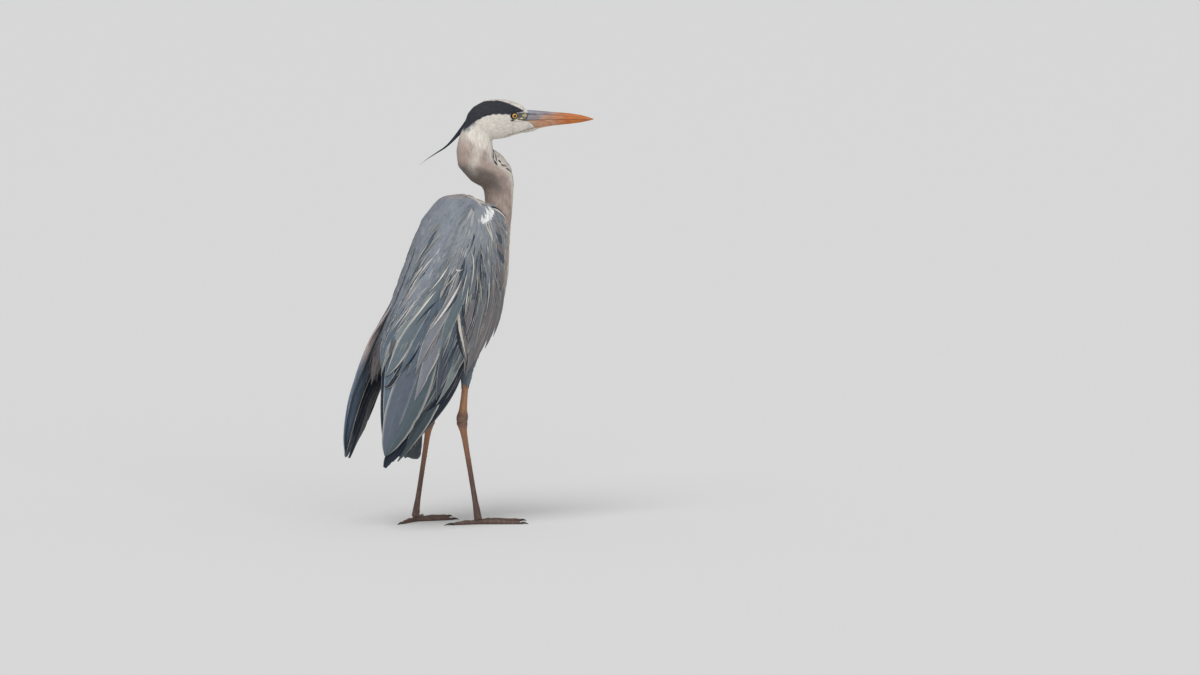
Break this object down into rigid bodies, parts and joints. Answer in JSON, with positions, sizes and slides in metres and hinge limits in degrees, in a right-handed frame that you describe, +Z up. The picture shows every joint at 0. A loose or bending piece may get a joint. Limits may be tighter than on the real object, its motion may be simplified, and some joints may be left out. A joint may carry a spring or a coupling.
{
  "type": "grey heron, standing, life-size still model",
  "caption": "Life-size adult grey heron standing with folded wings, the neck drawn into a bend and the head turned to its right.",
  "frame": {"origin": "on the floor, under the middle of the whole bird's box", "axes": "+X the way the body faces, +Y the bird's left, +Z up; the head looks 42 degrees to the right of +X"},
  "size_m": [0.408, 0.2432, 0.7274],
  "materials": {
    "feather_white": "soft matt white feather, with a blue-black stripe over each eye",
    "feather_neck": "soft matt feather, pinkish grey-buff, white and black streaked down the front",
    "feather_grey": "matt blue-grey feather with pale edges and long pale plumes",
    "feather_slate": "smooth blue-black flight feather",
    "feather_black": "narrow black plume",
    "bill_horn": "satin horn, orange with a darker grey-blue base",
    "eye": "wet glossy eye, yellow iris and black pupil",
    "leg_skin": "scaly brown leg skin, orange-brown above the hock",
    "claw_horn": "dark horn"
  },
  "bodies": {
    "root": {"head": "feather_white", "breast_plumes": "feather_white", "neck_lower": "feather_neck", "neck_middle": "feather_neck", "neck_upper": "feather_neck", "trunk": "feather_grey", "mantle": "feather_grey", "wing_right": "feather_grey", "wing_left": "feather_grey", "thigh_right": "feather_grey", "thigh_left": "feather_grey", "primaries_right": "feather_slate", "primaries_left": "feather_slate", "tail": "feather_slate", "crest_plume_right": "feather_black", "crest_plume_left": "feather_black", "bill_upper": "bill_horn", "bill_lower": "bill_horn", "eye_right": "eye", "eye_left": "eye", "shin_right": "leg_skin", "shin_left": "leg_skin", "shank_right": "leg_skin", "shank_left": "leg_skin", "foot_right": "leg_skin", "foot_left": "leg_skin", "claw_right_middle": "claw_horn", "claw_right_inner": "claw_horn", "claw_right_outer": "claw_horn", "claw_right_hind": "claw_horn", "claw_left_middle": "claw_horn", "claw_left_inner": "claw_horn", "claw_left_outer": "claw_horn", "claw_left_hind": "claw_horn"}
  },
  "joints": []
}
